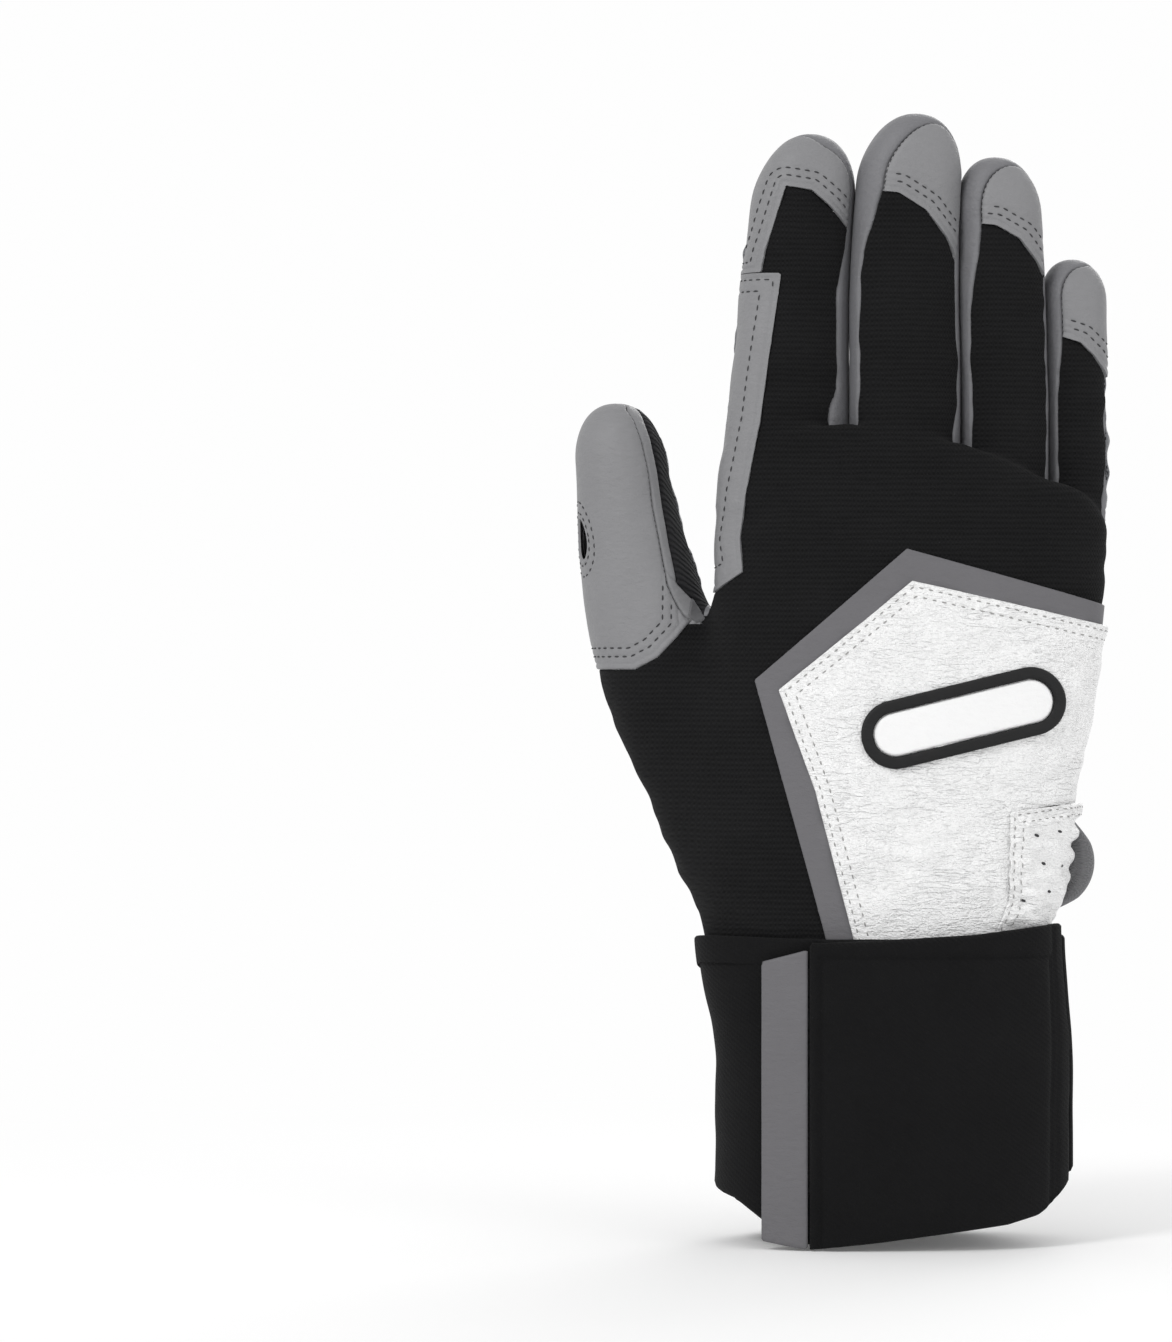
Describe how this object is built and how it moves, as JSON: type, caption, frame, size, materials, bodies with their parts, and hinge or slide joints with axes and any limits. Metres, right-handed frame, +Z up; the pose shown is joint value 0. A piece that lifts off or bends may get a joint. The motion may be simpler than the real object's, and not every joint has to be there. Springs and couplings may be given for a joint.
{
  "type": "batting glove",
  "caption": "Right-hand batting glove with leather palm, knit back, padded back patch, separate finger stalls and a long wrist cuff closed by a wrap-over strap.",
  "frame": {"origin": "centre of the glove's bounding box in plan, on the surface that the cuff's lower rim stands on", "axes": "+Z up from the cuff to the fingertips, -Y out of the back of the hand, +Y out of the palm, -X towards the thumb"},
  "size_m": [0.1376, 0.0596, 0.2883],
  "materials": {
    "palm_leather": "embossed grey goatskin, matt, with rows of small raised dashes",
    "smooth_leather": "smooth grey leather, soft sheen",
    "white_leather": "smooth white synthetic leather, stitched at the edges",
    "knit": "black four-way stretch knit, matt",
    "cuff_fabric": "black padded neoprene faced with brushed fabric",
    "trim": "mid grey synthetic leather, matt",
    "tape": "black hook and loop tape",
    "black_rubber": "black moulded rubber, satin",
    "white_rubber": "white moulded rubber, satin"
  },
  "bodies": {
    "hand": {"palm_leather": "palm_leather", "hand_back_knit": "knit", "index_side_wrap": "smooth_leather", "thumb_web_gusset": "smooth_leather", "back_patch_underlay": "trim", "back_patch": "white_leather", "wrist_gather_panel": "white_leather", "palm_heel_patch": "white_leather", "badge_rim": "black_rubber", "badge_face": "white_rubber", "wrist_elastic": "cuff_fabric", "cuff_sleeve": "cuff_fabric", "cuff_loop_tape": "tape", "cuff_top_binding": "cuff_fabric", "strap_sewn_root": "cuff_fabric"},
    "index_finger": {"index_palm_side": "palm_leather", "index_back_knit": "knit", "index_tip_cap": "smooth_leather", "index_outer_side": "smooth_leather", "index_little_side_fourchette": "smooth_leather"},
    "middle_finger": {"middle_palm_side": "palm_leather", "middle_back_knit": "knit", "middle_tip_cap": "smooth_leather", "middle_thumb_side_fourchette": "smooth_leather", "middle_little_side_fourchette": "smooth_leather"},
    "ring_finger": {"ring_palm_side": "palm_leather", "ring_back_knit": "knit", "ring_tip_cap": "smooth_leather", "ring_thumb_side_fourchette": "smooth_leather", "ring_little_side_fourchette": "smooth_leather"},
    "little_finger": {"little_palm_side": "palm_leather", "little_back_knit": "knit", "little_tip_cap": "smooth_leather", "little_thumb_side_fourchette": "smooth_leather"},
    "thumb": {"thumb_palm_side": "palm_leather", "thumb_back_leather": "smooth_leather", "thumb_inner_strip": "knit", "thumb_outer_strip": "smooth_leather"},
    "strap": {"strap_band": "cuff_fabric", "strap_pull_tab": "trim", "strap_hook_tape": "tape"},
    "pull_loop": {"pull_loop": "trim"}
  },
  "joints": [
    {"name": "index_flex", "type": "hinge", "parent": "hand", "child": "index_finger", "pos_m": [-0.01331, 0.01243, 0.198], "axis": [-1, 0, 0], "range_deg": [0, 65]},
    {"name": "middle_flex", "type": "hinge", "parent": "hand", "child": "middle_finger", "pos_m": [0.01244, 0.01038, 0.198], "axis": [-1, 0, 0], "range_deg": [0, 65]},
    {"name": "ring_flex", "type": "hinge", "parent": "hand", "child": "ring_finger", "pos_m": [0.03694, 0.01345, 0.198], "axis": [-1, 0, 0], "range_deg": [0, 65]},
    {"name": "little_flex", "type": "hinge", "parent": "hand", "child": "little_finger", "pos_m": [0.05819, 0.01755, 0.18673], "axis": [-1, 0, 0], "range_deg": [0, 65]},
    {"name": "thumb_flex", "type": "hinge", "parent": "hand", "child": "thumb", "pos_m": [-0.04729, 0.0314, 0.15497], "axis": [-0.8944, 0, -0.4472], "range_deg": [0, 50]},
    {"name": "strap_peel", "type": "hinge", "parent": "hand", "child": "strap", "pos_m": [0.05846, -0.00679, 0.04], "axis": [0, 0, 1], "range_deg": [0, 150]},
    {"name": "loop_swing", "type": "hinge", "parent": "hand", "child": "pull_loop", "pos_m": [0.05466, -0.00025, 0.09415], "axis": [0.2425, 0, 0.9701], "range_deg": [-18, 18]}
  ]
}
